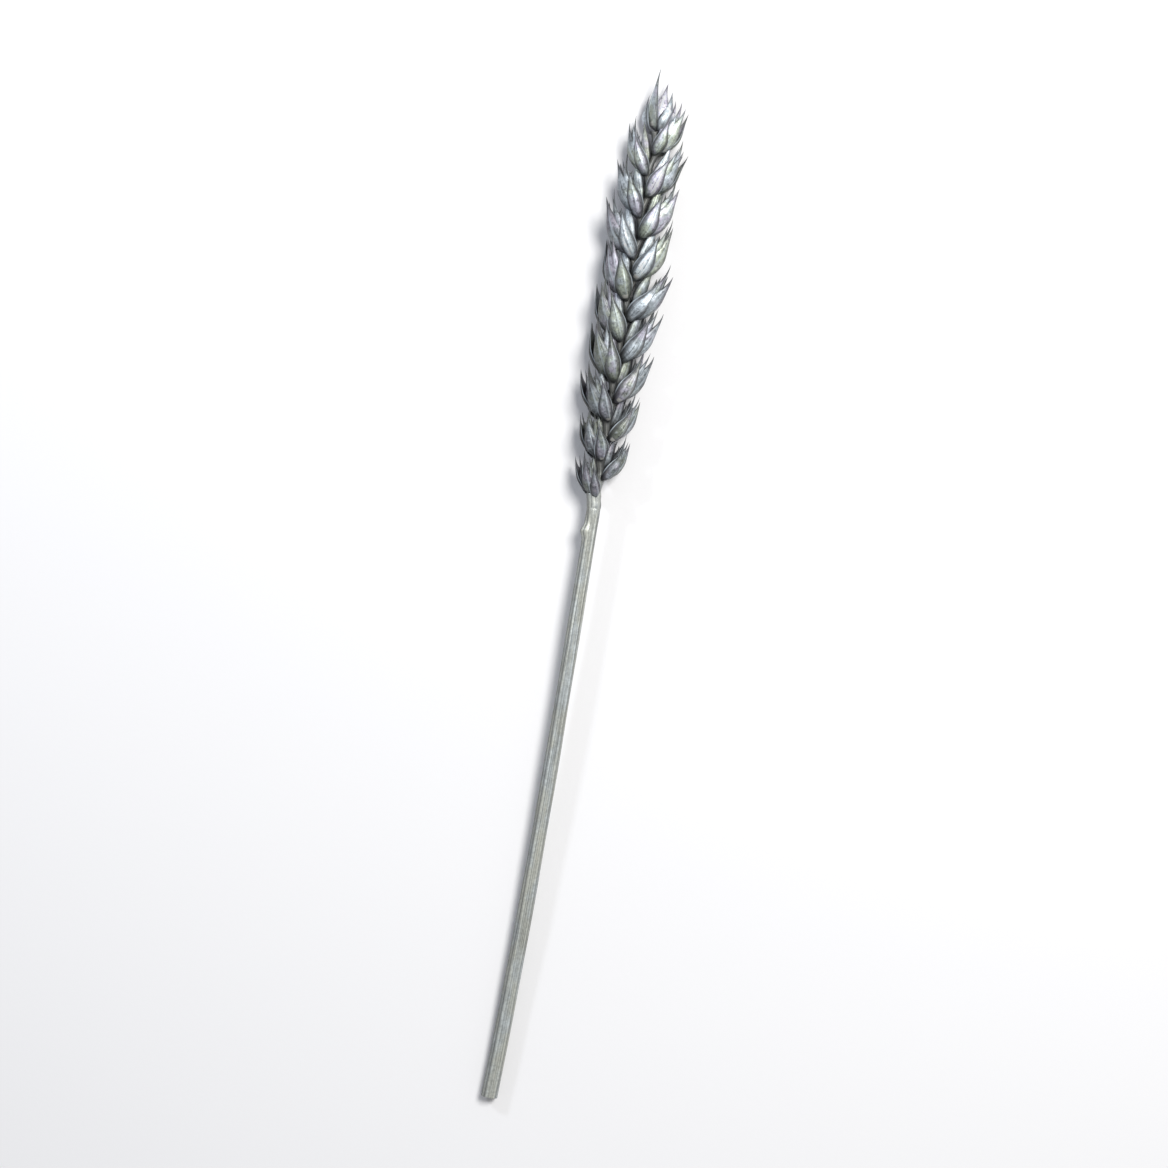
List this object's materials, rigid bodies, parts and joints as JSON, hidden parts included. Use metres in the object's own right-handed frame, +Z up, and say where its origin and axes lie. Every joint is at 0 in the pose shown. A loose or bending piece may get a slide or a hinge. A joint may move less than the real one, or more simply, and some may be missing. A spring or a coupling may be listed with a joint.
{
  "type": "wheat ear",
  "caption": "Dried ear of bread wheat painted silver grey, with a cut length of straw, lying on its side. Two rows of spikelets on a zigzag rachis end in an upright one.",
  "frame": {"origin": "Bottom centre: middle of the outline from above, on the surface that the ear rests on.", "axes": "+Z up from the surface, +Y along the stem from the straw's cut end towards the ear's tip, X across the two rows of spikelets."},
  "size_m": [0.015, 0.2101, 0.0097],
  "materials": {
    "painted_chaff": "Dry chaff under a thin silver-grey spray paint: half metallic, medium gloss on the plump backs, darker and matt in the gaps, with tints of lilac, olive and straw where the paint is thin.",
    "painted_straw": "Dry straw under the same silver-grey paint, finely grooved lengthwise, satin."
  },
  "bodies": {
    "root": {"ear": "painted_chaff", "straw": "painted_straw"}
  },
  "joints": []
}
